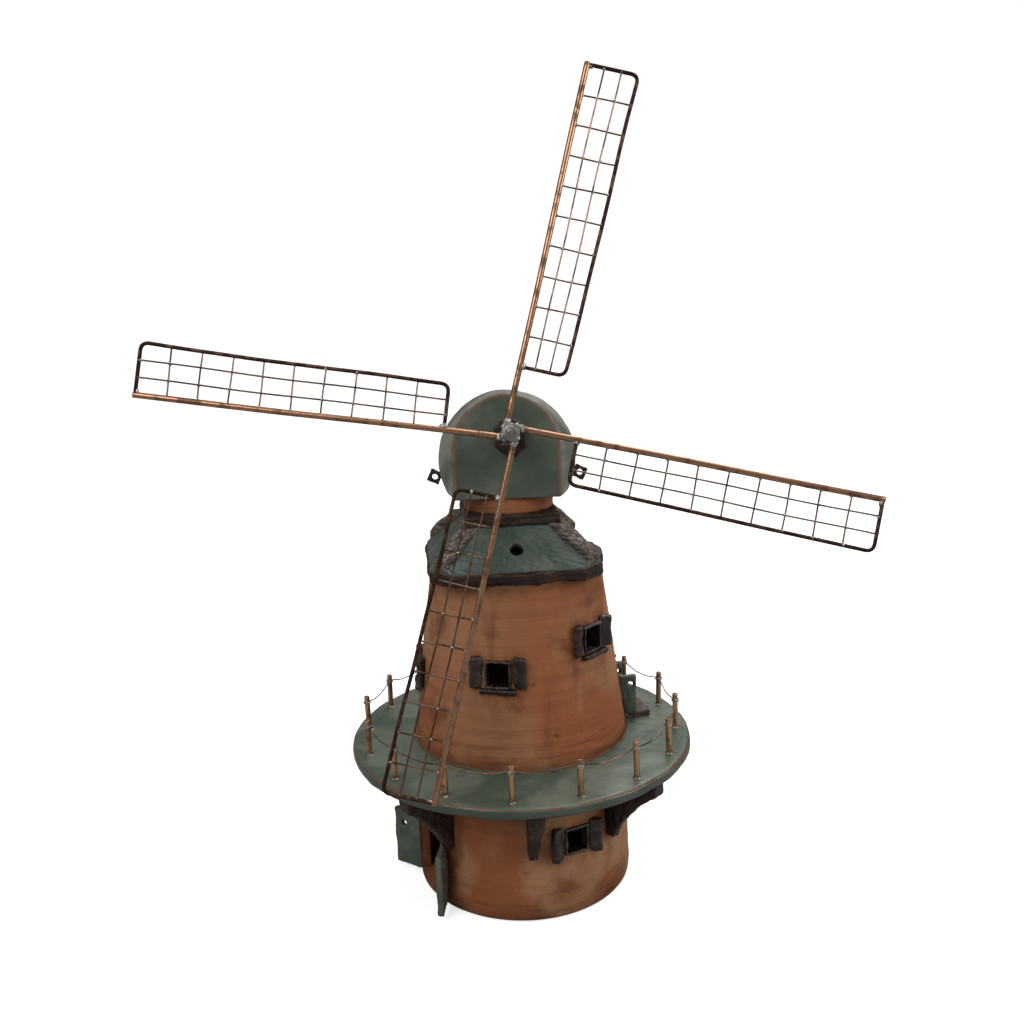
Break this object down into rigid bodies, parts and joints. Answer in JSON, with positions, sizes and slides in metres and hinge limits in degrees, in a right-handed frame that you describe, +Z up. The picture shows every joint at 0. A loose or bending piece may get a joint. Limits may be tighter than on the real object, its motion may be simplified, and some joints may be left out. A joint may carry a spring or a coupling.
{
  "type": "ceramic model windmill",
  "caption": "Hand-built clay model of a tower windmill with a railed gallery, a square skirt roof, a domed cap and four latticed wire sails that turn on a sloping shaft.",
  "frame": {"origin": "centre of the drum's flat foot, on the floor it stands on", "axes": "+Z up along the tower, -Y towards the side that the sails face, +X to the right seen from there"},
  "size_m": [0.4842, 0.2668, 0.5893],
  "materials": {
    "terracotta": "unglazed reddish-brown clay, smoke-stained and lightly throwing-ringed",
    "green_glaze": "grey-green satin glaze that breaks to brown on the edges",
    "brown_clay": "dark brown oxide-washed clay with a scratched grain",
    "copper": "tarnished copper tube and wire",
    "dark_copper": "dark, heat-blackened copper wire",
    "solder_steel": "dull grey metal with lumps of solder"
  },
  "bodies": {
    "mill": {"drum_floor": "terracotta", "drum_wall": "terracotta", "drum_window_linings": "brown_clay", "drum_shutters": "brown_clay", "drum_door_leaf_left": "green_glaze", "drum_door_leaf_right": "green_glaze", "gallery_deck": "green_glaze", "gallery_brackets": "brown_clay", "railing_posts": "copper", "railing_wire": "copper", "tower_wall": "terracotta", "tower_window_linings": "brown_clay", "tower_window_sills": "brown_clay", "tower_shutters": "brown_clay", "gallery_door_leaf_near": "green_glaze", "gallery_door_leaf_far": "green_glaze", "gallery_door_step": "brown_clay", "skirt_eaves": "brown_clay", "skirt_panel_front": "green_glaze", "skirt_panel_right": "green_glaze", "skirt_panel_back": "green_glaze", "skirt_panel_left": "green_glaze", "skirt_ridges": "brown_clay", "skirt_collar": "brown_clay", "neck": "terracotta", "cap_floor": "green_glaze", "cap_shell": "green_glaze", "cap_front": "green_glaze", "cap_lug_left": "brown_clay", "cap_lug_right": "brown_clay", "shaft_boss": "brown_clay"},
    "rotor": {"windshaft": "solder_steel", "hub_block": "solder_steel", "hub_bolt": "solder_steel", "sail_arm_up": "copper", "sail_arm_left": "copper", "sail_arm_down": "copper", "sail_arm_right": "copper", "sail_frame_up": "dark_copper", "sail_frame_left": "dark_copper", "sail_frame_down": "dark_copper", "sail_frame_right": "dark_copper"}
  },
  "joints": [
    {"name": "windshaft_turn", "type": "hinge", "parent": "mill", "child": "rotor", "pos_m": [-0.0005, -0.084, 0.3555], "axis": [0, -0.977, 0.213], "continuous": true}
  ]
}
